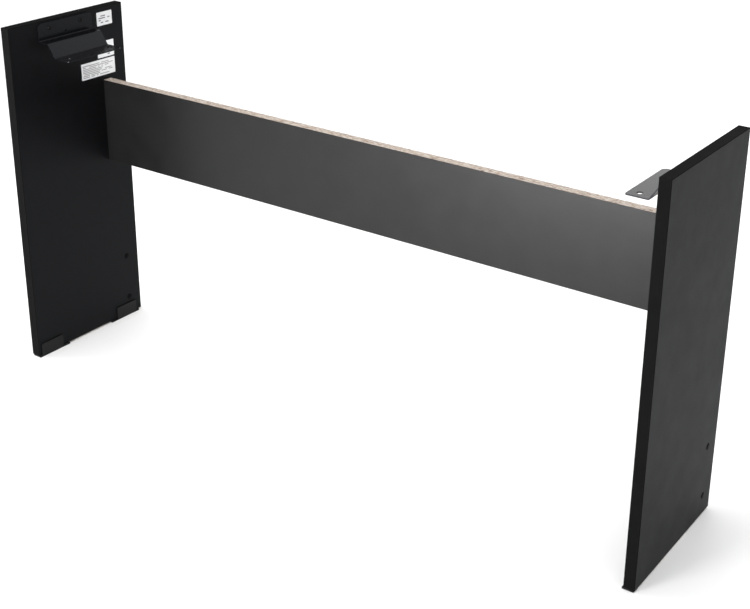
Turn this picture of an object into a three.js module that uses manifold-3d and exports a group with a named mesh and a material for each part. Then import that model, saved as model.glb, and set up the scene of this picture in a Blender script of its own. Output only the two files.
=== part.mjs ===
// Stand for a slab digital piano: two side panels, a cross panel held between them by cam locks and
// dowels, and two stepped steel brackets that carry the instrument between the side panels.
// Millimetres, +Z up. The origin is on the floor, midway between the side panels and midway along
// their depth. -Y is the player's side, and +Y is the rear.

import * as THREE from "three";
import { mergeVertices } from "three/addons/utils/BufferGeometryUtils.js";
import Module from "manifold-3d";

const wasm = await Module();
wasm.setup();

// Driving dimensions

const OVERALL_WIDTH = 1370;
const OVERALL_HEIGHT = 690;
const PANEL_DEPTH = 290;
const BOARD = 20; // thickness of all three boards
const CLEARANCE = 0.3; // radial room of a piece in its bore

const BAND = { thickness: 1, arris: 0.75 };

const FOOT = {
  pad: 3.5, // thickness under the panel
  length: 80,
  flange: 2.5, // thickness on the panel's inner face
  flangeLength: 55,
  flangeTop: 28.5,
  flangeInset: 7.5, // from the pad's end nearest the panel's corner
  frontInset: 0.5, // from the panel's front edge
  rearInset: 9, // from the panel's rear edge
  outerInset: 2, // from the panel's outer face
  screwSpacing: 54,
};

const CROSS = { bottom: 368, top: 540, rearInset: 42 };

const BRACKET = {
  steel: 2.25,
  length: 137,
  centreY: -7.5,
  flangeTop: 686,
  webZ: 651.5, // upper face of the upper web
  shelfZ: 626, // upper face of the shelf
  webWidth: 26.5, // from the panel's inner face to the fold
  slopeWidth: 16.5,
  shelfWidth: 39,
  bendRadius: 2.5, // on the inside of each fold
  flangeCorner: 9,
  shelfFrontCorner: 4,
  shelfRearCorner: 8,
  shelfHoleRadius: 5,
  shelfHoleSpacing: 106,
  shelfHoleInset: 18, // from the shelf's free edge
  screwSpacing: 80,
  screwZ: 675,
  screwHoleRadius: 2.75,
  sightHoleRadius: 2,
  sightHoleZ: 661.5,
};

const BRACKET_SCREW = { shank: 2, length: 15, head: 4.75, headHeight: 2.5, tip: 3 };
const FOOT_SCREW = { shank: 1.5, length: 15, head: 3.2, headHeight: 2, tip: 3, sink: 0.4 };
const CAP = { head: 6, dome: 1, stem: 3.7, stemLength: 7, y: 113, z: 41.5, spacing: 96 };

const CAM = {
  inset: 34, // from the cross panel's end to the cam's axis
  edgeInset: 32, // from the cross panel's top or bottom edge
  radius: 7.4,
  below: 3, // from the bolt's axis to the cam's inner end
  recess: 0.25, // below the cross panel's rear face
  post: 1,
  skirt: 6.1, // inner radius of the skirt
  cavityTop: 2.75,
  slotHalf: 1.65,
  slotStart: -20, // degrees, from the bolt towards +Z
  slotEnd: 210,
  openAngle: 190,
  entryWidth: 5,
};

const BOLT = {
  headOffset: 3.5, // from the cam's axis to the centre of the ball head
  head: 2.2,
  neck: 1.3,
  neckLength: 9.5,
  shank: 2.5,
  collar: 3.5,
  collarLength: 2,
  thread: 11,
};

const DOWEL = { radius: 4, length: 30, chamfer: 1, spacing: 44, inCross: 20, inPanel: 12 };

// Each label: height of its lower edge, height and width. All end on the same line at the rear.
const LABEL_REAR_Y = 116.5;
const LABEL_THICKNESS = 0.25;
const LABEL_CORNER = 1.5;
const LABELS = {
  label_upper: { z: 652, height: 27.5, width: 40.5 },
  label_middle: { z: 586.5, height: 33, width: 44 },
  label_lower: { z: 550, height: 33.5, width: 90 },
};

const ROUND = 16; // sides of a small round piece or bore
const FINE_ROUND = 28; // sides of the cams, their bores and the shelf holes
const ARC_STEPS = 4; // steps along a fold or a rounded corner
const PAST = 1; // how far a cutting tool runs past the face that it cuts

// Dimensions worked out from the driving ones

const OUTER_X = OVERALL_WIDTH / 2;
const INNER_X = OUTER_X - BOARD;
const MID_BOARD_X = OUTER_X - BOARD / 2;
const REAR_Y = PANEL_DEPTH / 2;
const CORE_Y = REAR_Y - BAND.thickness;
const CORE_TOP = OVERALL_HEIGHT - BAND.thickness;
const CROSS_REAR = REAR_Y - CROSS.rearInset;
const CROSS_FRONT = CROSS_REAR - BOARD;
const JOINT_Y = CROSS_REAR - BOARD / 2; // the line of the bolts and dowels
const CROSS_MIDDLE_Z = (CROSS.bottom + CROSS.top) / 2;
const CAM_X = INNER_X - CAM.inset;
const CAM_ABOVE = CROSS_REAR - CAM.recess - JOINT_Y;
const CAM_HEIGHTS = { lower: CROSS.bottom + CAM.edgeInset, upper: CROSS.top - CAM.edgeInset };
const DOWEL_HEIGHTS = {
  lower: CROSS_MIDDLE_Z - DOWEL.spacing / 2,
  upper: CROSS_MIDDLE_Z + DOWEL.spacing / 2,
};
const CAP_HEIGHTS = { lower: CAP.z, upper: CAP.z + CAP.spacing };
const BRACKET_SCREW_YS = {
  front: BRACKET.centreY - BRACKET.screwSpacing / 2,
  rear: BRACKET.centreY + BRACKET.screwSpacing / 2,
};

// Each foot's span along Y. The flange sits nearer the end that faces the panel's corner.
const FEET = {
  front: {
    y: -REAR_Y + FOOT.frontInset,
    flangeY: -REAR_Y + FOOT.frontInset + FOOT.flangeInset,
  },
  rear: {
    y: REAR_Y - FOOT.rearInset - FOOT.length,
    flangeY: REAR_Y - FOOT.rearInset - FOOT.flangeInset - FOOT.flangeLength,
  },
};

// Materials

const finish = (color, roughness, metalness = 0) =>
  new THREE.MeshStandardMaterial({ color, roughness, metalness });

const laminate = finish(0x2a2a2c, 0.55);
const edgeBand = finish(0x222223, 0.5);
const coatedSteel = finish(0x36373a, 0.4, 0.3);
const blackScrew = finish(0x1c1c1e, 0.35, 0.6);
const blackPlastic = finish(0x18181a, 0.5);
const zinc = finish(0xb9bcc0, 0.35, 0.9);
const beech = finish(0xc9a678, 0.7);
const paper = finish(0xe9eaec, 0.6);

// Solids

function solid(geometry) {
  const bare = geometry.clone();
  bare.deleteAttribute("normal");
  bare.deleteAttribute("uv");
  const merged = mergeVertices(bare);
  const mesh = new wasm.Mesh({
    numProp: 3,
    vertProperties: merged.attributes.position.array,
    triVerts: new Uint32Array(merged.index.array),
  });
  return new wasm.Manifold(mesh);
}

function geometryOf(manifold) {
  const { vertProperties, triVerts } = manifold.getMesh();
  const geometry = new THREE.BufferGeometry();
  geometry.setAttribute("position", new THREE.BufferAttribute(vertProperties, 3));
  geometry.setIndex(new THREE.BufferAttribute(triVerts, 1));
  geometry.computeVertexNormals();
  return geometry;
}

const cut = (geometry, tools) =>
  geometryOf(tools.reduce((left, tool) => left.subtract(solid(tool)), solid(geometry)));

const box = ([x0, y0, z0], [x1, y1, z1]) =>
  new THREE.BoxGeometry(x1 - x0, y1 - y0, z1 - z0).translate(
    (x0 + x1) / 2,
    (y0 + y1) / 2,
    (z0 + z1) / 2,
  );

// Cylinders from one point along an axis

const rodX = (radius, from, to, y, z, sides = ROUND) =>
  new THREE.CylinderGeometry(radius, radius, to - from, sides)
    .rotateZ(-Math.PI / 2)
    .translate((from + to) / 2, y, z);

const rodY = (radius, x, from, to, z, sides = ROUND) =>
  new THREE.CylinderGeometry(radius, radius, to - from, sides).translate(x, (from + to) / 2, z);

const rodZ = (radius, x, y, from, to, sides = ROUND) =>
  new THREE.CylinderGeometry(radius, radius, to - from, sides)
    .rotateX(Math.PI / 2)
    .translate(x, y, (from + to) / 2);

const lathe = (profile, sides = ROUND) =>
  new THREE.LatheGeometry(
    profile.map(([radius, height]) => new THREE.Vector2(radius, height)),
    sides,
  );

const extrude = (shape, depth) => new THREE.ExtrudeGeometry(shape, { depth, bevelEnabled: false });

// A rectangle with its own corner radius at each corner, anticlockwise from the lower left.
function roundedRectangle(x0, y0, x1, y1, [lowLeft, lowRight, highRight, highLeft]) {
  const corners = [
    [x0 + lowLeft, y0 + lowLeft, lowLeft, Math.PI],
    [x1 - lowRight, y0 + lowRight, lowRight, Math.PI * 1.5],
    [x1 - highRight, y1 - highRight, highRight, 0],
    [x0 + highLeft, y1 - highLeft, highLeft, Math.PI / 2],
  ];
  const points = corners.flatMap(([x, y, radius, start]) => {
    const steps = radius > 0 ? ARC_STEPS : 0;
    return Array.from({ length: steps + 1 }, (_, step) => {
      const angle = start + (step * Math.PI) / 2 / ARC_STEPS;
      return new THREE.Vector2(x + radius * Math.cos(angle), y + radius * Math.sin(angle));
    });
  });
  return new THREE.Shape(points);
}

// Boards and their edge bands. Everything on a side is made for the right side.

function sidePanel() {
  const board = box([INNER_X, -CORE_Y, FOOT.pad], [OUTER_X, CORE_Y, CORE_TOP]);
  const intoPanel = (radius, depth, y, z) =>
    rodX(radius, INNER_X - PAST, INNER_X + depth, y, z);
  const footScrewYs = Object.values(FEET).flatMap(footScrewPlaces);
  return cut(board, [
    ...Object.values(CAM_HEIGHTS).map((z) =>
      intoPanel(BOLT.shank + CLEARANCE, DOWEL.inPanel, JOINT_Y, z),
    ),
    ...Object.values(DOWEL_HEIGHTS).map((z) =>
      intoPanel(DOWEL.radius + CLEARANCE, DOWEL.inPanel, JOINT_Y, z),
    ),
    ...Object.values(BRACKET_SCREW_YS).map((y) =>
      intoPanel(BRACKET_SCREW.shank + CLEARANCE, BRACKET_SCREW.length, y, BRACKET.screwZ),
    ),
    ...Object.values(CAP_HEIGHTS).map((z) => intoPanel(CAP.stem + CLEARANCE, BOARD + PAST, CAP.y, z)),
    ...footScrewYs.map((y) =>
      rodZ(FOOT_SCREW.shank + CLEARANCE, MID_BOARD_X, y, FOOT.pad - PAST, FOOT.pad + FOOT_SCREW.length),
    ),
  ]);
}

// A strip as wide as the board, with its two outer arrises rounded, lying along +Z.
function edgeStrip(length) {
  const { thickness, arris } = BAND;
  return extrude(roundedRectangle(0, 0, BOARD, thickness, [0, 0, arris, arris]), length);
}

function crossPanel() {
  const board = box([-INNER_X, CROSS_FRONT, CROSS.bottom], [INNER_X, CROSS_REAR, CROSS.top]);
  const tools = [];
  for (const side of [-1, 1]) {
    const fromEnd = (radius, depth, z) => {
      const ends = [side * (INNER_X + PAST), side * (INNER_X - depth)];
      return rodX(radius, Math.min(...ends), Math.max(...ends), JOINT_Y, z);
    };
    for (const z of Object.values(CAM_HEIGHTS)) {
      const pocketFloor = JOINT_Y - CAM.below - CLEARANCE;
      const pocketRadius = CAM.radius + CLEARANCE;
      tools.push(rodY(pocketRadius, side * CAM_X, pocketFloor, CROSS_REAR + PAST, z, FINE_ROUND));
      tools.push(fromEnd(BOLT.collar + CLEARANCE, CAM.inset, z));
    }
    for (const z of Object.values(DOWEL_HEIGHTS)) {
      tools.push(fromEnd(DOWEL.radius + CLEARANCE, DOWEL.inCross, z));
    }
  }
  return cut(board, tools);
}

// The stepped bracket: a strip of sheet with three folds, its corners rounded and its holes drilled.

function filletedLine(points, radii) {
  const line = [];
  points.forEach((point, i) => {
    if (i === 0 || i === points.length - 1) {
      line.push(point);
      return;
    }
    const before = point.clone().sub(points[i - 1]).normalize();
    const after = points[i + 1].clone().sub(point).normalize();
    const turn = Math.atan2(before.cross(after), before.dot(after));
    const reach = radii[i] * Math.tan(Math.abs(turn) / 2);
    const start = point.clone().addScaledVector(before, -reach);
    const toCentre = new THREE.Vector2(-before.y, before.x).multiplyScalar(Math.sign(turn) * radii[i]);
    const centre = start.clone().add(toCentre);
    for (let step = 0; step <= ARC_STEPS; step++) {
      line.push(start.clone().rotateAround(centre, (turn * step) / ARC_STEPS));
    }
  });
  return line;
}

// The section of a bent strip. path is one face, and the other face lies to its left.
function bentStrip(path, thickness, bendRadius) {
  const face = path.map(([x, y]) => new THREE.Vector2(x, y));
  const directions = face.slice(1).map((point, i) => point.clone().sub(face[i]).normalize());
  const normals = directions.map((direction) => new THREE.Vector2(-direction.y, direction.x));
  const back = face.map((point, i) => {
    const before = normals[Math.max(i - 1, 0)];
    const after = normals[Math.min(i, normals.length - 1)];
    const mitre = thickness / (1 + before.dot(after));
    return point.clone().addScaledVector(before, mitre).addScaledVector(after, mitre);
  });
  const turnsLeft = face.map(
    (_, i) => i > 0 && i < directions.length && directions[i - 1].cross(directions[i]) > 0,
  );
  const radiusOn = (isOuter) => (isOuter ? bendRadius + thickness : bendRadius);
  const faceLine = filletedLine(face, turnsLeft.map(radiusOn));
  const backLine = filletedLine(back, turnsLeft.map((left) => radiusOn(!left)));
  return new THREE.Shape([...faceLine, ...backLine.reverse()]);
}

function bracket() {
  const b = BRACKET;
  const frontY = b.centreY - b.length / 2;
  const rearY = b.centreY + b.length / 2;
  const flangeX = INNER_X - b.steel;
  const webX = INNER_X - b.webWidth;
  const slopeX = webX - b.slopeWidth;
  const shelfX = slopeX - b.shelfWidth;
  const path = [
    [flangeX, b.flangeTop],
    [flangeX, b.webZ],
    [webX, b.webZ],
    [slopeX, b.shelfZ],
    [shelfX, b.shelfZ],
  ];
  const sheet = extrude(bentStrip(path, b.steel, b.bendRadius), b.length)
    .rotateX(Math.PI / 2)
    .translate(0, rearY, 0);

  const underShelf = b.shelfZ - b.steel - PAST;
  const flangePlan = roundedRectangle(frontY, underShelf, rearY, b.flangeTop, [
    0,
    0,
    b.flangeCorner,
    b.flangeCorner,
  ]);
  const alongX = new THREE.Matrix4().makeBasis(
    new THREE.Vector3(0, 1, 0),
    new THREE.Vector3(0, 0, 1),
    new THREE.Vector3(1, 0, 0),
  );
  const flangeOutline = extrude(flangePlan, INNER_X - shelfX + 2 * PAST)
    .applyMatrix4(alongX)
    .translate(shelfX - PAST, 0, 0);

  const shelfPlan = roundedRectangle(shelfX, frontY, INNER_X, rearY, [
    b.shelfFrontCorner,
    0,
    0,
    b.shelfRearCorner,
  ]);
  const shelfOutline = extrude(shelfPlan, b.flangeTop - underShelf + PAST).translate(0, 0, underShelf);

  const holes = [rodX(b.sightHoleRadius, flangeX - PAST, INNER_X + PAST, b.centreY, b.sightHoleZ)];
  for (const y of Object.values(BRACKET_SCREW_YS)) {
    holes.push(rodX(b.screwHoleRadius, flangeX - PAST, INNER_X + PAST, y, b.screwZ));
  }
  for (const side of [-1, 1]) {
    const y = b.centreY + (side * b.shelfHoleSpacing) / 2;
    const x = shelfX + b.shelfHoleInset;
    holes.push(rodZ(b.shelfHoleRadius, x, y, underShelf, b.shelfZ + PAST, FINE_ROUND));
  }
  const trimmed = solid(sheet).intersect(solid(flangeOutline)).intersect(solid(shelfOutline));
  return cut(geometryOf(trimmed), holes);
}

// Feet

function footScrewPlaces({ y }) {
  const middle = y + FOOT.length / 2;
  return [middle - FOOT.screwSpacing / 2, middle + FOOT.screwSpacing / 2];
}

function foot(place) {
  const innerX = INNER_X - FOOT.flange;
  const outerX = OUTER_X - FOOT.outerInset;
  const pad = box([innerX, place.y, 0], [outerX, place.y + FOOT.length, FOOT.pad]);
  const flangeEnd = place.flangeY + FOOT.flangeLength;
  const flange = box([innerX, place.flangeY, 0], [INNER_X, flangeEnd, FOOT.flangeTop]);
  const joined = geometryOf(solid(pad).add(solid(flange)));
  const { shank, head, headHeight, sink } = FOOT_SCREW;
  const gap = 2 * CLEARANCE;
  const slope = (head - shank) / headHeight;
  const countersink = [
    [0, -PAST],
    [head + gap + slope * (PAST - sink), -PAST],
    [shank + gap, headHeight],
    [shank + gap, FOOT.pad + PAST],
    [0, FOOT.pad + PAST],
  ];
  return cut(
    joined,
    footScrewPlaces(place).map((y) =>
      lathe(countersink).rotateX(Math.PI / 2).translate(MID_BOARD_X, y, 0),
    ),
  );
}

// Fasteners and small pieces. Each is turned about +Y, and its head or visible face looks along +Y.

const crossRecess = (reach, width, top, depth) =>
  [
    [reach, width],
    [width, reach],
  ].map(([x, z]) => new THREE.BoxGeometry(x, depth + PAST, z).translate(0, top + (PAST - depth) / 2, 0));

function bracketScrew() {
  const { shank, length, head, headHeight, tip } = BRACKET_SCREW;
  const drive = { reach: 5, width: 1, depth: 1.2 };
  const profile = [
    [0, -length],
    [shank, tip - length],
    [shank, 0],
    [head, 0],
    [head, headHeight * 0.35],
    [head * 0.88, headHeight * 0.72],
    [head * 0.6, headHeight * 0.94],
    [0, headHeight],
  ];
  return cut(lathe(profile), crossRecess(drive.reach, drive.width, headHeight, drive.depth));
}

function footScrew() {
  const { shank, length, head, headHeight, tip } = FOOT_SCREW;
  const drive = { reach: 3.4, width: 0.8, depth: 1 };
  const profile = [
    [0, -length],
    [shank, tip - length],
    [shank, -headHeight],
    [head, 0],
    [0, 0],
  ];
  return cut(lathe(profile, ROUND / 2), crossRecess(drive.reach, drive.width, 0, drive.depth));
}

const coverCap = () =>
  lathe([
    [0, -CAP.stemLength],
    [CAP.stem * 0.85, -CAP.stemLength],
    [CAP.stem, -CAP.stemLength * 0.8],
    [CAP.stem, 0],
    [CAP.head, 0],
    [CAP.head, CAP.dome * 0.4],
    [CAP.head * 0.85, CAP.dome * 0.85],
    [CAP.head * 0.6, CAP.dome],
    [0, CAP.dome],
  ]);

// The origin is the centre of the ball head, and the thread points along +Y.
function camBolt() {
  const wall = CAM.inset - BOLT.headOffset;
  const ball = [];
  const neckAngle = Math.asin(BOLT.neck / BOLT.head);
  for (let step = 0; step <= ARC_STEPS; step++) {
    const angle = ((Math.PI - neckAngle) * step) / ARC_STEPS;
    ball.push([BOLT.head * Math.sin(angle), -BOLT.head * Math.cos(angle)]);
  }
  return lathe(
    [
      ...ball,
      [BOLT.neck, BOLT.neckLength],
      [BOLT.shank, BOLT.neckLength],
      [BOLT.shank, wall - BOLT.collarLength],
      [BOLT.collar, wall - BOLT.collarLength],
      [BOLT.collar, wall],
      [BOLT.shank, wall],
      [BOLT.shank, wall + BOLT.thread * 0.8],
      [0, wall + BOLT.thread],
    ],
    ROUND / 2,
  );
}

// The origin is where the bolt's axis meets the cam's. The skirt has a slot for the bolt's neck,
// which ends in a wide entry for its head. The screwdriver's recess and a pointer are on the rear.
function camLock() {
  const inner = -CAM.below;
  const height = CAM.below + CAM_ABOVE;
  const body = new THREE.CylinderGeometry(CAM.radius, CAM.radius, height, FINE_ROUND).translate(
    0,
    inner + height / 2,
    0,
  );
  const cavity = lathe(
    [
      [CAM.post, inner - PAST],
      [CAM.skirt, inner - PAST],
      [CAM.skirt, CAM.cavityTop],
      [CAM.post, CAM.cavityTop],
      [CAM.post, inner - PAST],
    ],
    FINE_ROUND,
  );
  const start = THREE.MathUtils.degToRad(CAM.slotStart);
  const end = THREE.MathUtils.degToRad(CAM.slotEnd);
  const sector = new THREE.Shape();
  sector.absarc(0, 0, CAM.radius + PAST, start, end, false);
  sector.absarc(0, 0, CAM.skirt - PAST, end, start, true);
  sector.closePath();
  const slot = new THREE.ExtrudeGeometry(sector, {
    depth: 2 * CAM.slotHalf,
    bevelEnabled: false,
    curveSegments: FINE_ROUND,
  })
    .rotateX(Math.PI / 2)
    .translate(0, CAM.slotHalf, 0);
  const entryLength = CAM.radius - CAM.skirt + 2 * PAST;
  const entryHeight = CAM.cavityTop - inner + PAST;
  const entry = new THREE.BoxGeometry(entryLength, entryHeight, CAM.entryWidth)
    .translate(CAM.skirt - PAST + entryLength / 2, CAM.cavityTop - entryHeight / 2, 0)
    .rotateY(-THREE.MathUtils.degToRad(CAM.openAngle));
  const drive = { reach: 8, width: 1.6, depth: 2.4 };
  const pointer = { tip: 6.8, base: 5, half: 1.1, depth: 0.5 };
  const pointerShape = new THREE.Shape([
    new THREE.Vector2(pointer.tip, 0),
    new THREE.Vector2(pointer.base, pointer.half),
    new THREE.Vector2(pointer.base, -pointer.half),
  ]);
  const pointerMark = extrude(pointerShape, pointer.depth + PAST)
    .rotateX(Math.PI / 2)
    .translate(0, CAM_ABOVE + PAST, 0);
  return cut(body, [
    cavity,
    slot,
    entry,
    pointerMark,
    ...crossRecess(drive.reach, drive.width, CAM_ABOVE, drive.depth),
  ]);
}

function dowel() {
  const { radius, length, chamfer } = DOWEL;
  return lathe([
    [0, -length / 2],
    [radius - chamfer, -length / 2],
    [radius, chamfer - length / 2],
    [radius, length / 2 - chamfer],
    [radius - chamfer, length / 2],
    [0, length / 2],
  ]);
}

const label = ({ width, height }) =>
  extrude(roundedRectangle(0, 0, width, height, Array(4).fill(LABEL_CORNER)), LABEL_THICKNESS);

// Assembly

function place(parent, name, geometry, material, position = [0, 0, 0], rotation = [0, 0, 0]) {
  const mesh = new THREE.Mesh(geometry, material);
  mesh.name = name;
  mesh.position.set(...position);
  mesh.rotation.set(...rotation);
  parent.add(mesh);
}

const TURN_TO_PLUS_X = [0, 0, -Math.PI / 2];
const TURN_TO_MINUS_X = [0, 0, Math.PI / 2];
const TURN_TO_MINUS_Z = [-Math.PI / 2, 0, 0];

function addBands(side, name) {
  const uprightLength = OVERALL_HEIGHT - FOOT.pad;
  const upright = edgeStrip(uprightLength);
  const topStrip = edgeStrip(2 * CORE_Y);
  place(side, `${name}_front_band`, upright, edgeBand, [OUTER_X, -CORE_Y, FOOT.pad], [0, 0, Math.PI]);
  place(side, `${name}_rear_band`, upright, edgeBand, [INNER_X, CORE_Y, FOOT.pad]);
  place(side, `${name}_top_band`, topStrip, edgeBand, [INNER_X, CORE_Y, CORE_TOP], [Math.PI / 2, 0, 0]);
}

function addBracket(side, name) {
  place(side, `${name}_bracket`, bracket(), coatedSteel);
  for (const [end, y] of Object.entries(BRACKET_SCREW_YS)) {
    const head = [INNER_X - BRACKET.steel, y, BRACKET.screwZ];
    place(side, `${name}_bracket_screw_${end}`, bracketScrew(), blackScrew, head, TURN_TO_MINUS_X);
  }
}

function addFeet(side, name) {
  for (const [end, span] of Object.entries(FEET)) {
    place(side, `${name}_${end}_foot`, foot(span), blackPlastic);
    footScrewPlaces(span).forEach((y, i) => {
      const head = [MID_BOARD_X, y, FOOT_SCREW.sink];
      place(side, `${name}_${end}_foot_screw_${i + 1}`, footScrew(), zinc, head, TURN_TO_MINUS_Z);
    });
  }
}

function addCaps(side, name) {
  for (const [level, z] of Object.entries(CAP_HEIGHTS)) {
    const inner = [INNER_X, CAP.y, z];
    const outer = [OUTER_X, CAP.y, z];
    place(side, `${name}_inner_cap_${level}`, coverCap(), blackPlastic, inner, TURN_TO_MINUS_X);
    place(side, `${name}_outer_cap_${level}`, coverCap(), blackPlastic, outer, TURN_TO_PLUS_X);
  }
}

function addCrossJoint(side, name) {
  for (const [level, z] of Object.entries(CAM_HEIGHTS)) {
    const head = [CAM_X + BOLT.headOffset, JOINT_Y, z];
    place(side, `${name}_cam_bolt_${level}`, camBolt(), zinc, head, TURN_TO_PLUS_X);
  }
  const freeLength = DOWEL.inCross + DOWEL.inPanel - DOWEL.length;
  const middleX = INNER_X - DOWEL.inCross + freeLength / 2 + DOWEL.length / 2;
  for (const [level, z] of Object.entries(DOWEL_HEIGHTS)) {
    place(side, `${name}_dowel_${level}`, dowel(), beech, [middleX, JOINT_Y, z], TURN_TO_PLUS_X);
  }
}

function makeSide(name) {
  const side = new THREE.Group();
  place(side, `${name}_side_panel`, sidePanel(), laminate);
  addBands(side, name);
  addBracket(side, name);
  addFeet(side, name);
  addCaps(side, name);
  addCrossJoint(side, name);
  return side;
}

const stand = new THREE.Group();
const rightSide = makeSide("right");
const leftSide = makeSide("left");
leftSide.scale.x = -1;
stand.add(rightSide, leftSide);
place(stand, "cross_panel", crossPanel(), laminate);

// The four cam locks are the same piece, so those on the left are turned half round, not mirrored.
for (const [level, z] of Object.entries(CAM_HEIGHTS)) {
  place(stand, `right_cam_${level}`, camLock(), zinc, [CAM_X, JOINT_Y, z]);
  place(stand, `left_cam_${level}`, camLock(), zinc, [-CAM_X, JOINT_Y, z], [0, Math.PI, 0]);
}

// The labels lie on the inner face of the left side panel and face +X.
for (const [name, size] of Object.entries(LABELS)) {
  const corner = [-INNER_X, LABEL_REAR_Y - size.width, size.z];
  place(stand, name, label(size), paper, corner, [Math.PI / 2, Math.PI / 2, 0]);
}

export default stand;
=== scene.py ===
# Looks of the digital piano stand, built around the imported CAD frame. Metres, +Z up.
# -Y is the player's side, and +Y is the rear.

import math
import re

import bpy
from mathutils import Matrix, Vector


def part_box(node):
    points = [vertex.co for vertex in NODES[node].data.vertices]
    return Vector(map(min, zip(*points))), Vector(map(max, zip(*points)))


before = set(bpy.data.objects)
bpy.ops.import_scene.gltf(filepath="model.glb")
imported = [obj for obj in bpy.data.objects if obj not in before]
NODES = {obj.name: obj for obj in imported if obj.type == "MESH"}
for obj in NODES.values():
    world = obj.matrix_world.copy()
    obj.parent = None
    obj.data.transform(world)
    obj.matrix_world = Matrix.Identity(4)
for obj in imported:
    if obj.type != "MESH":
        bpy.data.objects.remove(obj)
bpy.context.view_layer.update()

MM = 0.001


# Camera

CAMERA_PLACE = Vector((1.3744, -1.8006, 1.3348))
CAMERA_YAW = math.radians(32.663)  # from +Y towards -X
CAMERA_PITCH = math.radians(-22.038)  # above the horizon
CAMERA_ROLL = math.radians(1.445)
CAMERA_LENS = 65.6  # millimetres, on a sensor 36 mm wide
CAMERA_SHIFT = (-0.0912, -0.1109)  # the picture is cut from beside the lens axis


def make_camera():
    data = bpy.data.cameras.new("camera")
    data.sensor_width = 36
    data.lens = CAMERA_LENS
    data.shift_x, data.shift_y = CAMERA_SHIFT
    data.clip_start = 0.05
    data.clip_end = 100
    camera = bpy.data.objects.new("camera", data)
    bpy.context.scene.collection.objects.link(camera)
    turn = Matrix.Rotation(CAMERA_YAW, 4, "Z")
    tilt = Matrix.Rotation(math.radians(90) + CAMERA_PITCH, 4, "X")
    roll = Matrix.Rotation(CAMERA_ROLL, 4, "Z")
    camera.matrix_world = Matrix.Translation(CAMERA_PLACE) @ turn @ tilt @ roll
    bpy.context.scene.camera = camera


# Studio: a white floor under a sky that is brightest overhead, and four soft boxes

FLOOR_SIZE = 30
FLOOR_DROP = 0.05 * MM  # keeps the floor from sharing a plane with the feet
FLOOR_COLOUR = (0.92, 0.92, 0.92, 1)
SKY_AT_HORIZON = 0.35
SKY_OVERHEAD = 2.4
SKY_FALL = 3  # how fast the sky darkens away from the zenith

# Each soft box: its place, the point it faces, its width and height, and its power in watts.
SOFT_BOXES = {
    "left_softbox": ((-2.6, -0.9, 1.2), (0.3, 0, 0.4), (1.2, 1.2), 30),
    "front_softbox": ((-0.45, -2.4, 0.3), (0.3, 0, 0.45), (0.8, 0.5), 112),
    "rear_softbox": ((-0.5, 2.6, 1.65), (0.4, 0, 0.6), (1.2, 1.2), 10),
    "high_softbox": ((0.9, 2.2, 2.5), (-0.2, 0, 0.5), (1.0, 1.0), 7),
}


def make_floor():
    half = FLOOR_SIZE / 2
    mesh = bpy.data.meshes.new("floor")
    corners = [(-half, -half, 0), (half, -half, 0), (half, half, 0), (-half, half, 0)]
    mesh.from_pydata(corners, [], [(0, 1, 2, 3)])
    floor = bpy.data.objects.new("floor", mesh)
    floor.location.z = -FLOOR_DROP
    bpy.context.scene.collection.objects.link(floor)
    paper = bpy.data.materials.new("studio_paper")
    paper.use_nodes = True
    shader = paper.node_tree.nodes["Principled BSDF"]
    shader.inputs["Base Color"].default_value = FLOOR_COLOUR
    shader.inputs["Roughness"].default_value = 0.9
    shader.inputs["Specular IOR Level"].default_value = 0.2
    mesh.materials.append(paper)


def make_sky():
    world = bpy.data.worlds.new("studio")
    world.use_nodes = True
    nodes, links = world.node_tree.nodes, world.node_tree.links
    direction = nodes.new("ShaderNodeTexCoord")
    height = nodes.new("ShaderNodeSeparateXYZ")
    above = nodes.new("ShaderNodeMath")
    above.operation = "MAXIMUM"
    above.inputs[1].default_value = 0
    fall = nodes.new("ShaderNodeMath")
    fall.operation = "POWER"
    fall.inputs[1].default_value = SKY_FALL
    level = nodes.new("ShaderNodeMapRange")
    level.inputs["To Min"].default_value = SKY_AT_HORIZON
    level.inputs["To Max"].default_value = SKY_OVERHEAD
    background = nodes["Background"]
    background.inputs["Color"].default_value = (1, 1, 1, 1)
    links.new(direction.outputs["Generated"], height.inputs[0])
    links.new(height.outputs["Z"], above.inputs[0])
    links.new(above.outputs[0], fall.inputs[0])
    links.new(fall.outputs[0], level.inputs["Value"])
    links.new(level.outputs[0], background.inputs["Strength"])
    bpy.context.scene.world = world


def make_soft_box(name, place, aim, size, power):
    data = bpy.data.lights.new(name, "AREA")
    data.shape = "RECTANGLE"
    data.size, data.size_y = size
    data.energy = power
    light = bpy.data.objects.new(name, data)
    light.location = place
    light.rotation_mode = "QUATERNION"
    light.rotation_quaternion = (Vector(aim) - Vector(place)).to_track_quat("-Z", "Y")
    bpy.context.scene.collection.objects.link(light)


def make_studio():
    make_floor()
    make_sky()
    for name, values in SOFT_BOXES.items():
        make_soft_box(name, *values)
    settings = bpy.context.scene.view_settings
    settings.view_transform = "Standard"
    settings.look = "None"
    settings.exposure = 0
    settings.gamma = 1


# Materials

NEUTRAL = (1, 1, 1, 1)  # tints of the reflections
COOL = (0.88, 0.92, 1, 1)

LAMINATE_SKIN = 0.25 * MM
SKIN_BROWN = (0.05, 0.04, 0.035, 1)  # the laminate's own cut edge
CHIP_SIZE = 1.15 * MM
CHIP_COLOURS = [
    (0.0, (0.16, 0.10, 0.068)),
    (0.10, (0.35, 0.26, 0.20)),
    (0.35, (0.51, 0.415, 0.355)),
    (0.70, (0.61, 0.54, 0.475)),
    (1.0, (0.71, 0.66, 0.60)),
]

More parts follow.
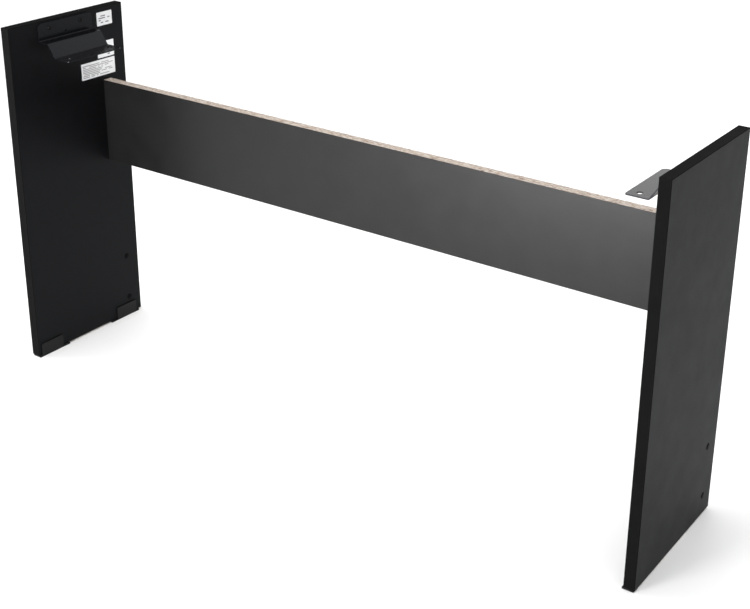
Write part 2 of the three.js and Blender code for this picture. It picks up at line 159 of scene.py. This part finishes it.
# The rules that stand for print: how many rows, their grey, the margin as a share of the label's
# height, and how much of the rows they fill.
LABELS = {
    "label_upper": {"rows": 4, "ink": 0.16, "margin": 0.18, "filled": 0.62},
    "label_middle": {"rows": 5, "ink": 0.22, "margin": 0.12, "filled": 0.6},
    "label_lower": {"rows": 8, "ink": 0.32, "margin": 0.10, "filled": 0.85},
}
RULE_THICKNESS = 0.52  # as a share of the pitch of the rows
WORD_LENGTH = 1.4  # in pitches
ROW_STRIDE = 7.3  # keeps the gaps of one row clear of the next row's
SHORTEST_ROW = 0.62  # as a share of the label's width


class Tree:
    """A material's nodes, added one at a time. Lengths are in metres of the row frame."""

    def __init__(self, name):
        self.material = bpy.data.materials.new(name)
        self.material.use_nodes = True
        self.nodes = self.material.node_tree.nodes
        self.links = self.material.node_tree.links
        self.shader = self.nodes["Principled BSDF"]
        coordinates = self.nodes.new("ShaderNodeTexCoord")
        self.place = coordinates.outputs["Object"]
        self.facing = coordinates.outputs["Normal"]

    def put(self, socket, value):
        if isinstance(value, bpy.types.NodeSocket):
            self.links.new(value, socket)
        else:
            socket.default_value = value

    def node(self, kind, settings, values):
        node = self.nodes.new(kind)
        for key, value in settings.items():
            setattr(node, key, value)
        for key, value in values.items():
            self.put(node.inputs[key], value)
        return node

    def set(self, **values):
        for key, value in values.items():
            self.put(self.shader.inputs[key.replace("_", " ")], value)

    def math(self, operation, *values):
        node = self.node("ShaderNodeMath", {"operation": operation}, dict(enumerate(values)))
        return node.outputs[0]

    def all_of(self, first, *others):
        for other in others:
            first = self.math("MULTIPLY", first, other)
        return first

    def between(self, value, low, high):
        above = self.math("GREATER_THAN", value, low)
        return self.all_of(above, self.math("LESS_THAN", value, high))

    def stretch(self, scale):
        values = {"Vector": self.place, "Scale": scale}
        return self.node("ShaderNodeMapping", {}, values).outputs[0]

    def parts(self, vector):
        return self.node("ShaderNodeSeparateXYZ", {}, {"Vector": vector}).outputs

    def noise(self, size, detail=2, roughness=0.5, vector=None):
        values = {
            "Vector": vector or self.place,
            "Scale": 1 / size,
            "Detail": detail,
            "Roughness": roughness,
        }
        return self.node("ShaderNodeTexNoise", {}, values).outputs[0]

    def cells(self, size, vector, feature="F1"):
        values = {"Vector": vector, "Scale": 1 / size}
        return self.node("ShaderNodeTexVoronoi", {"feature": feature}, values).outputs

    def random(self, dimensions, values):
        node = self.node("ShaderNodeTexWhiteNoise", {"noise_dimensions": dimensions}, values)
        return node.outputs[0]

    def range(self, value, low, high, to_low=0.0, to_high=1.0):
        values = {
            "Value": value,
            "From Min": low,
            "From Max": high,
            "To Min": to_low,
            "To Max": to_high,
        }
        return self.node("ShaderNodeMapRange", {}, values).outputs[0]

    def ramp(self, value, stops):
        node = self.node("ShaderNodeValToRGB", {}, {"Fac": value})
        elements = node.color_ramp.elements
        while len(elements) < len(stops):
            elements.new(0.5)
        for element, (position, colour) in zip(elements, stops):
            element.position = position
            element.color = (*colour, 1)
        return node.outputs[0]

    def mix(self, share, first, second):
        node = self.node("ShaderNodeMix", {"data_type": "RGBA"}, {0: share})
        self.put(node.inputs[6], first)
        self.put(node.inputs[7], second)
        return node.outputs[2]

    def dull(self, colour, tone_and_pit_shade):
        values = {0: colour, "Scale": tone_and_pit_shade}
        return self.node("ShaderNodeVectorMath", {"operation": "SCALE"}, values).outputs[0]

    def bump(self, height, depth, strength, below=None):
        values = {"Height": height, "Distance": depth, "Strength": strength}
        if below is not None:
            values["Normal"] = below
        return self.node("ShaderNodeBump", {}, values).outputs[0]


def grey(level):
    return (level, level, level, 1)


def scaled(colour, factor):
    return tuple(channel * factor for channel in colour)


def laminate_look(tree, black, rough):
    """Black melamine paper: colour, roughness and height of a fine pebbled surface."""
    cloud = tree.noise(35 * MM, detail=3)
    pebble = tree.noise(0.55 * MM, detail=3, roughness=0.6)
    speck = tree.noise(1.6 * MM, detail=2)
    colour = tree.ramp(cloud, [(0.35, scaled(black, 0.92)), (0.68, scaled(black, 1.08))])
    sheen = tree.range(cloud, 0.3, 0.7, rough - 0.02, rough + 0.02)
    finish = tree.math("ADD", sheen, tree.range(speck, 0.3, 0.7, -0.02, 0.02))
    return colour, finish, pebble


def particle_look(tree, length_axis):
    """Sawn particle board: flat chips that lie along the board, pits between them and fine fibres."""
    along = {"x": (0.22, 1, 1), "y": (1, 0.22, 1)}[length_axis]
    lie = tree.stretch(along)
    chips = tree.cells(CHIP_SIZE, lie)
    edges = tree.cells(CHIP_SIZE, lie, "DISTANCE_TO_EDGE")["Distance"]
    shade = tree.parts(chips["Color"])[0]
    fibres = tree.noise(0.35 * MM, detail=4, roughness=0.7, vector=lie)
    # The chips' colour darkens towards their edges: painted shade in the pits between chips, mixed
    # with the fibres' own random tone. The same values also sink the pits in the height.
    pit_painted_shade = tree.range(edges, 0.0, 0.07, 0.55, 1.0)
    tone_and_pit_shade = tree.math("MULTIPLY", pit_painted_shade, tree.range(fibres, 0.25, 0.75, 0.85, 1.1))
    height = tree.math("ADD", tree.math("MULTIPLY", shade, 0.5), tree.math("MULTIPLY", tone_and_pit_shade, 0.6))
    return tree.dull(tree.ramp(shade, CHIP_COLOURS), tone_and_pit_shade), height


def board_material(name, node, thickness_axis, length_axis, black, rough, gloss, tint):
    """Laminate on the two broad faces, and raw particle board on every cut face."""
    tree = Tree(name)
    axis = "xyz".index(thickness_axis)
    low, high = (corner[axis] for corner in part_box(node))
    middle, half = (low + high) / 2, (high - low) / 2
    across = tree.parts(tree.place)[axis]
    facing = tree.math("ABSOLUTE", tree.parts(tree.facing)[axis])
    depth = tree.math("ABSOLUTE", tree.math("SUBTRACT", across, middle))
    in_skin = tree.math("GREATER_THAN", depth, half - LAMINATE_SKIN)
    laminated = tree.all_of(in_skin, tree.math("GREATER_THAN", facing, 0.35))
    raw = tree.math("SUBTRACT", 1.0, laminated)
    paper_colour, paper_rough, pebble = laminate_look(tree, black, rough)
    chip_colour, chip_height = particle_look(tree, length_axis)
    cut_colour = tree.mix(tree.all_of(in_skin, raw), chip_colour, SKIN_BROWN)
    chips = tree.bump(tree.math("MULTIPLY", chip_height, raw), 0.25 * MM, 0.8)
    pebbles = tree.math("MULTIPLY", pebble, laminated)
    tree.set(
        Base_Color=tree.mix(raw, paper_colour, cut_colour),
        Roughness=tree.math("MAXIMUM", paper_rough, tree.math("MULTIPLY", raw, 0.85)),
        Specular_IOR_Level=gloss,
        Specular_Tint=tint,
        Normal=tree.bump(pebbles, 0.03 * MM, 0.35, chips),
    )
    return tree.material


def band_material():
    """Edge band: a matt black, with fine cross marks from trimming."""
    tree = Tree("edge_band")
    cloud = tree.noise(25 * MM, detail=2)
    texture = tree.noise(0.5 * MM, detail=3, roughness=0.6)
    trimming = tree.noise(1.2 * MM, detail=1, vector=tree.stretch((0.15, 0.15, 1)))
    height = tree.math("ADD", texture, tree.math("MULTIPLY", trimming, 0.4))
    blacks = [(0.35, (0.0020, 0.0020, 0.0021)), (0.7, (0.0030, 0.0030, 0.0031))]
    tree.set(
        Base_Color=tree.ramp(cloud, blacks),
        Roughness=tree.range(cloud, 0.3, 0.7, 0.72, 0.78),
        Specular_IOR_Level=0.04,
        Normal=tree.bump(height, 0.03 * MM, 0.35),
    )
    return tree.material


def steel_material():
    """Powder-coated steel: fine orange peel, a little dust of lighter grains."""
    tree = Tree("coated_steel")
    peel = tree.noise(0.9 * MM, detail=2)
    grain = tree.noise(0.25 * MM, detail=2, roughness=0.6)
    grains = tree.range(grain, 0.55, 0.75)
    height = tree.math("ADD", peel, tree.math("MULTIPLY", grain, 0.3))
    tree.set(
        Base_Color=tree.mix(grains, (0.0036, 0.0038, 0.0048, 1), (0.0085, 0.0088, 0.0100, 1)),
        Roughness=tree.range(peel, 0.3, 0.7, 0.20, 0.30),
        Specular_IOR_Level=0.12,
        Specular_Tint=COOL,
        Normal=tree.bump(height, 0.05 * MM, 0.5),
    )
    return tree.material


def plastic_material(name, black, rough, gloss):
    """Moulded black plastic with a spark-eroded texture and faint flow marks."""
    tree = Tree(name)
    spark = tree.noise(0.35 * MM, detail=3, roughness=0.65)
    flow = tree.noise(6 * MM, detail=2)
    tree.set(
        Base_Color=tree.ramp(flow, [(0.35, scaled(black, 0.85)), (0.7, scaled(black, 1.2))]),
        Roughness=tree.range(flow, 0.3, 0.7, rough - 0.04, rough + 0.05),
        Specular_IOR_Level=gloss,
        Normal=tree.bump(spark, 0.03 * MM, 0.5),
    )
    return tree.material


def metal_material(name, colour, metallic, rough, wear, gloss):
    """Plated or blackened metal: a fine crystalline finish, duller where it has been handled."""
    tree = Tree(name)
    finish = tree.noise(0.3 * MM, detail=3, roughness=0.6)
    patches = tree.noise(2.5 * MM, detail=3)
    tree.set(
        Base_Color=tree.ramp(patches, [(0.35, scaled(colour, wear)), (0.65, colour)]),
        Metallic=metallic,
        Specular_IOR_Level=gloss,
        Roughness=tree.range(patches, 0.3, 0.7, rough + 0.08, rough - 0.05),
        Normal=tree.bump(finish, 0.02 * MM, 0.4),
    )
    return tree.material


def beech_material():
    """Turned beech: grain along X and short dark flecks."""
    tree = Tree("beech_dowel")
    grain = tree.noise(0.5 * MM, detail=4, roughness=0.6, vector=tree.stretch((0.06, 1, 1)))
    flecks = tree.cells(0.8 * MM, tree.stretch((0.2, 1, 1)))["Distance"]
    fleck = tree.range(flecks, 0.0, 0.25, 0.75, 1.0)
    colour = tree.ramp(grain, [(0.3, (0.48, 0.31, 0.17)), (0.7, (0.66, 0.47, 0.29))])
    tree.set(
        Base_Color=tree.dull(colour, fleck),
        Roughness=tree.range(grain, 0.3, 0.7, 0.6, 0.72),
        Normal=tree.bump(grain, 0.05 * MM, 0.5),
    )
    return tree.material


def label_material(node, rows, ink, margin, filled):
    """White label paper with rows of grey rules, broken at random, where the print would be."""
    tree = Tree(node + "_paper")
    low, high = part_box(node)
    height = high.z - low.z
    side = margin * height / (high.y - low.y)
    y, z = tree.parts(tree.place)[1:3]
    across = tree.range(y, low.y, high.y)
    up = tree.range(z, low.z, high.z)

    row = tree.math("MULTIPLY", tree.range(up, margin, 1 - margin), float(rows))
    row_number = tree.math("FLOOR", row)
    on_rule = tree.math("LESS_THAN", tree.math("FRACT", row), RULE_THICKNESS)
    word = height * (1 - 2 * margin) / rows * WORD_LENGTH
    spot = {0: tree.math("DIVIDE", y, word), 1: tree.math("MULTIPLY", row_number, ROW_STRIDE)}
    spot = tree.node("ShaderNodeCombineXYZ", {}, spot).outputs[0]
    words = tree.node("ShaderNodeVectorMath", {"operation": "FLOOR"}, {0: spot}).outputs[0]
    inked = tree.math("LESS_THAN", tree.random("2D", {0: words}), filled)
    row_end = tree.random("1D", {"W": row_number})
    right = tree.range(row_end, 0.0, 1.0, SHORTEST_ROW, 1.0 - side)
    inside = tree.all_of(tree.between(across, side, right), tree.between(up, margin, 1 - margin))
    rules = tree.all_of(on_rule, inked, inside)

    fibres = tree.noise(0.4 * MM, detail=3)
    paper = tree.ramp(fibres, [(0.3, (0.78, 0.79, 0.80)), (0.7, (0.84, 0.85, 0.86))])
    tree.set(
        Base_Color=tree.mix(rules, paper, grey(ink)),
        Roughness=tree.range(fibres, 0.3, 0.7, 0.42, 0.55),
        Normal=tree.bump(fibres, 0.01 * MM, 0.4),
    )
    return tree.material


# Surfaces of the CAD nodes

MERGE_DISTANCE = 0.002 * MM
FLAT_ANGLE = math.radians(0.5)  # faces that meet at less than this become one
SMOOTH_ANGLE = math.radians(35)  # edges sharper than this stay sharp
ROUNDED_ANGLE = math.radians(40)  # edges sharper than this are rounded
EDGE_RADII = {"_bracket": 0.3 * MM, "_foot": 0.5 * MM}
EDGE_STEPS = 2


def surface_group():
    """A modifier that joins the corners that faces share and shades their round stretches smooth."""
    group = bpy.data.node_groups.new("joined_surface", "GeometryNodeTree")
    for in_out in ("INPUT", "OUTPUT"):
        group.interface.new_socket("Geometry", in_out=in_out, socket_type="NodeSocketGeometry")
    nodes, links = group.nodes, group.links
    start = nodes.new("NodeGroupInput")
    merge = nodes.new("GeometryNodeMergeByDistance")
    merge.inputs["Distance"].default_value = MERGE_DISTANCE
    forget = nodes.new("GeometryNodeRemoveAttribute")
    forget.inputs["Name"].default_value = "custom_normal"
    faces = nodes.new("GeometryNodeSetShadeSmooth")
    faces.domain = "FACE"
    edges = nodes.new("GeometryNodeSetShadeSmooth")
    edges.domain = "EDGE"
    angle = nodes.new("GeometryNodeInputMeshEdgeAngle")
    limit = nodes.new("FunctionNodeCompare")
    limit.data_type = "FLOAT"
    limit.operation = "LESS_EQUAL"
    limit.inputs[1].default_value = SMOOTH_ANGLE
    end = nodes.new("NodeGroupOutput")
    links.new(start.outputs[0], merge.inputs["Geometry"])
    links.new(merge.outputs[0], forget.inputs["Geometry"])
    links.new(forget.outputs[0], faces.inputs["Geometry"])
    links.new(faces.outputs[0], edges.inputs["Geometry"])
    links.new(angle.outputs["Unsigned Angle"], limit.inputs[0])
    links.new(limit.outputs[0], edges.inputs["Shade Smooth"])
    links.new(edges.outputs[0], end.inputs[0])
    return group


def refine(node, group, edge_radius):
    """Joins, rounds and shades a CAD node's surface by modifiers alone."""
    join = node.modifiers.new("join", "NODES")
    join.node_group = group
    flat = node.modifiers.new("flat", "DECIMATE")
    flat.decimate_type = "DISSOLVE"
    flat.angle_limit = FLAT_ANGLE
    if edge_radius:
        soft = node.modifiers.new("soft_edges", "BEVEL")
        soft.width = edge_radius
        soft.segments = EDGE_STEPS
        soft.limit_method = "ANGLE"
        soft.angle_limit = ROUNDED_ANGLE
        soft.use_clamp_overlap = True
    shade = node.modifiers.new("shade", "NODES")
    shade.node_group = group
    even = node.modifiers.new("even_faces", "WEIGHTED_NORMAL")
    even.mode = "FACE_AREA"
    even.weight = 100
    even.keep_sharp = True


def refine_all():
    group = surface_group()
    for name, node in NODES.items():
        radii = [radius for ending, radius in EDGE_RADII.items() if name.endswith(ending)]
        refine(node, group, sum(radii))


def paint(pattern, material):
    """Gives a material to every CAD node whose name matches the pattern."""
    for name, node in NODES.items():
        if re.search(pattern, name):
            node.material_slots[0].material = material


def paint_boards():
    cross = board_material(
        "cross_board",
        "cross_panel",
        thickness_axis="y",
        length_axis="x",
        black=(0.005, 0.005, 0.005),
        rough=0.34,
        gloss=0.2,
        tint=NEUTRAL,
    )
    paint("^cross_panel$", cross)
    for side in ("left", "right"):
        board = board_material(
            side + "_board",
            side + "_side_panel",
            thickness_axis="x",
            length_axis="y",
            black=(0.0034, 0.0035, 0.0039),
            rough=0.5,
            gloss=0.10,
            tint=COOL,
        )
        paint(f"^{side}_side_panel$", board)
    paint("_band$", band_material())


def paint_fittings():
    screw_black, foot_black, cap_black = (0.006, 0.006, 0.007), (0.005,) * 3, (0.0015,) * 3
    black_screw = metal_material(
        "black_screw", screw_black, metallic=0.0, rough=0.42, wear=0.6, gloss=0.12
    )
    zinc = metal_material(
        "zinc_fastener", (0.62, 0.63, 0.65), metallic=1.0, rough=0.34, wear=0.7, gloss=0.5
    )
    paint("_bracket$", steel_material())
    paint("_bracket_screw_", black_screw)
    paint("_foot$", plastic_material("foot_plastic", foot_black, rough=0.45, gloss=0.18))
    paint("_cap_", plastic_material("cap_plastic", cap_black, rough=0.5, gloss=0.04))
    paint("_cam_|_foot_screw_", zinc)
    paint("_dowel_", beech_material())
    for node, look in LABELS.items():
        paint(f"^{node}$", label_material(node, **look))


make_camera()
make_studio()
paint_boards()
paint_fittings()
refine_all()
